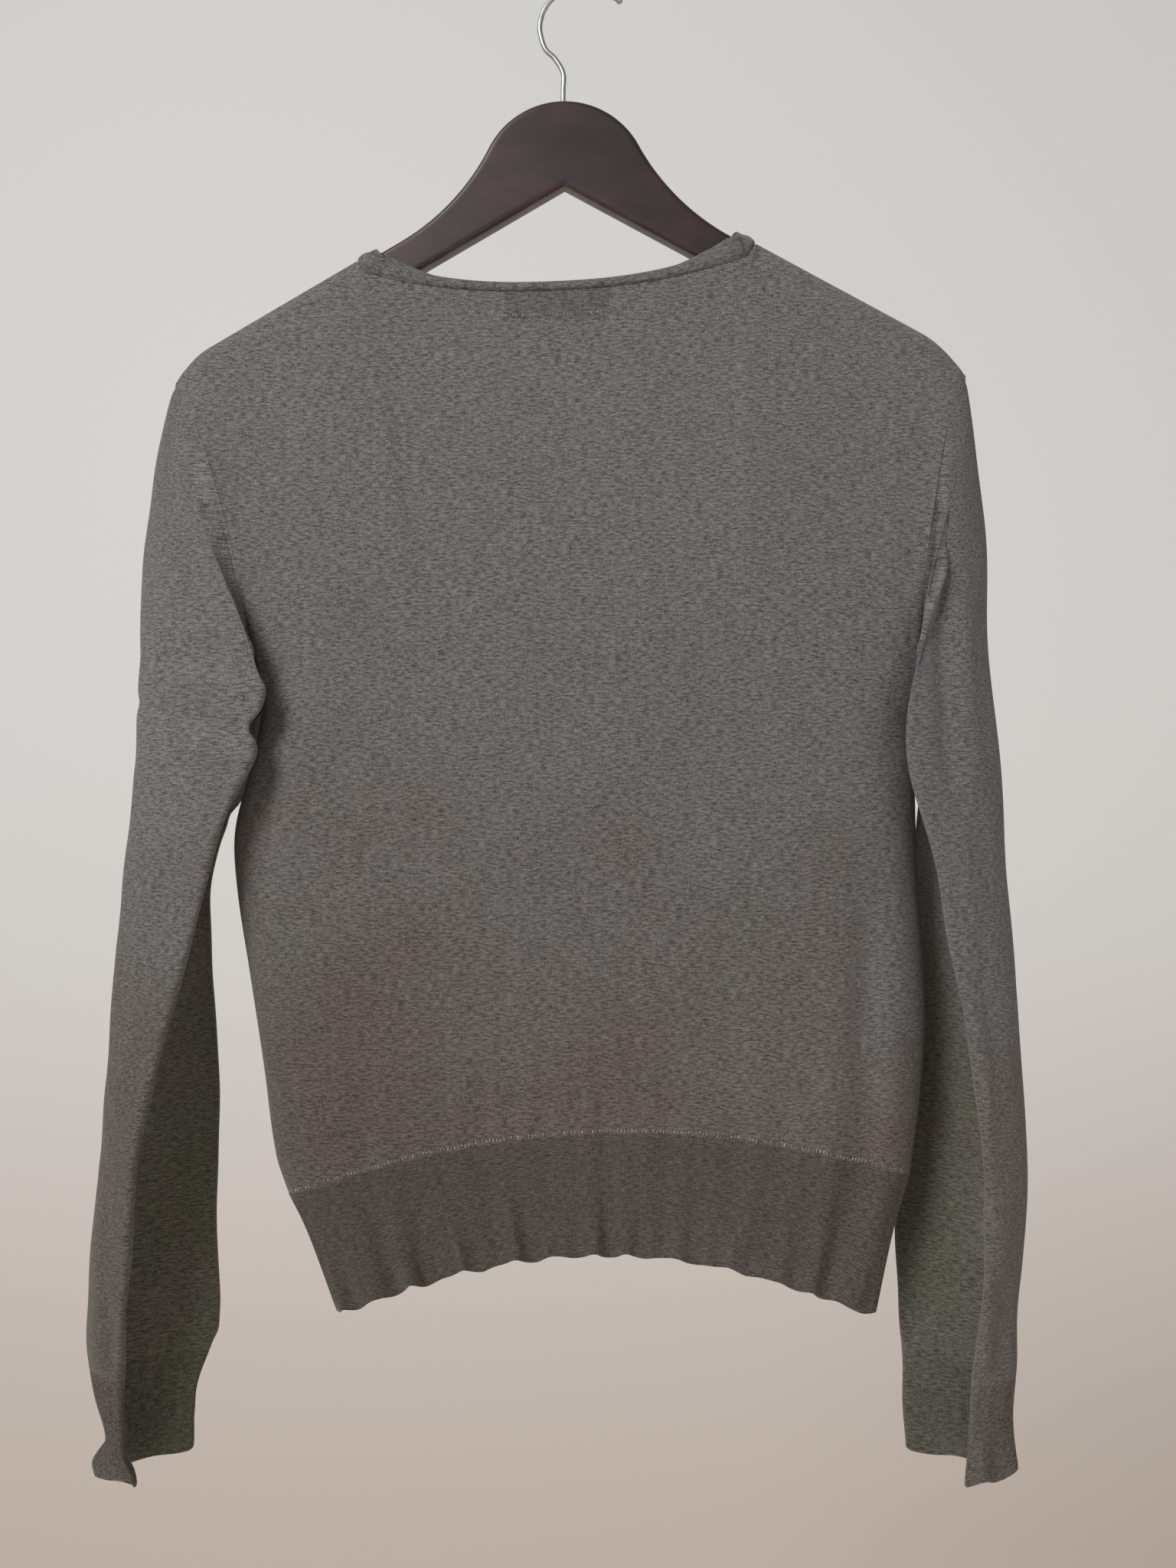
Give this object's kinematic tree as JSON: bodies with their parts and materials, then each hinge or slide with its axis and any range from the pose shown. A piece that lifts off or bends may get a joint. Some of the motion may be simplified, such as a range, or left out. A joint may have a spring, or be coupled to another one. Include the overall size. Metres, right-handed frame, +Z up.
{
  "type": "knitted wool sweater on a wooden hanger",
  "caption": "Fine-knit wool sweater with long set-in sleeves, a rolled neckband and ribbed hem and cuffs, hung by its shoulders on a flat wooden hanger with a wire hook.",
  "frame": {"origin": "top of the inside of the hook's bend, where a rail or a wall hook bears", "axes": "+Z up, the garment hangs below the origin; -Y is the side of the garment's back and +Y of its front; +X is the wearer's right"},
  "size_m": [0.505, 0.0817, 0.8077],
  "materials": {
    "knit": "fine plain knit in grey marl wool, soft and slightly fuzzy, browner towards the hem",
    "rib": "fine rib in the same grey marl wool, darker and blotched with wear",
    "hanger_wood": "dark mahogany stain under a thin satin varnish, nicked along the edges",
    "hook_steel": "bare bright wire, lightly dulled"
  },
  "bodies": {
    "root": {"back_panel": "knit", "front_panel": "knit", "hem_rib_back": "rib", "hem_rib_front": "rib", "neckband": "rib", "sleeve_left": "knit", "cuff_left": "rib", "sleeve_right": "knit", "cuff_right": "rib", "hanger_board": "hanger_wood", "hanger_hook": "hook_steel"}
  },
  "joints": []
}
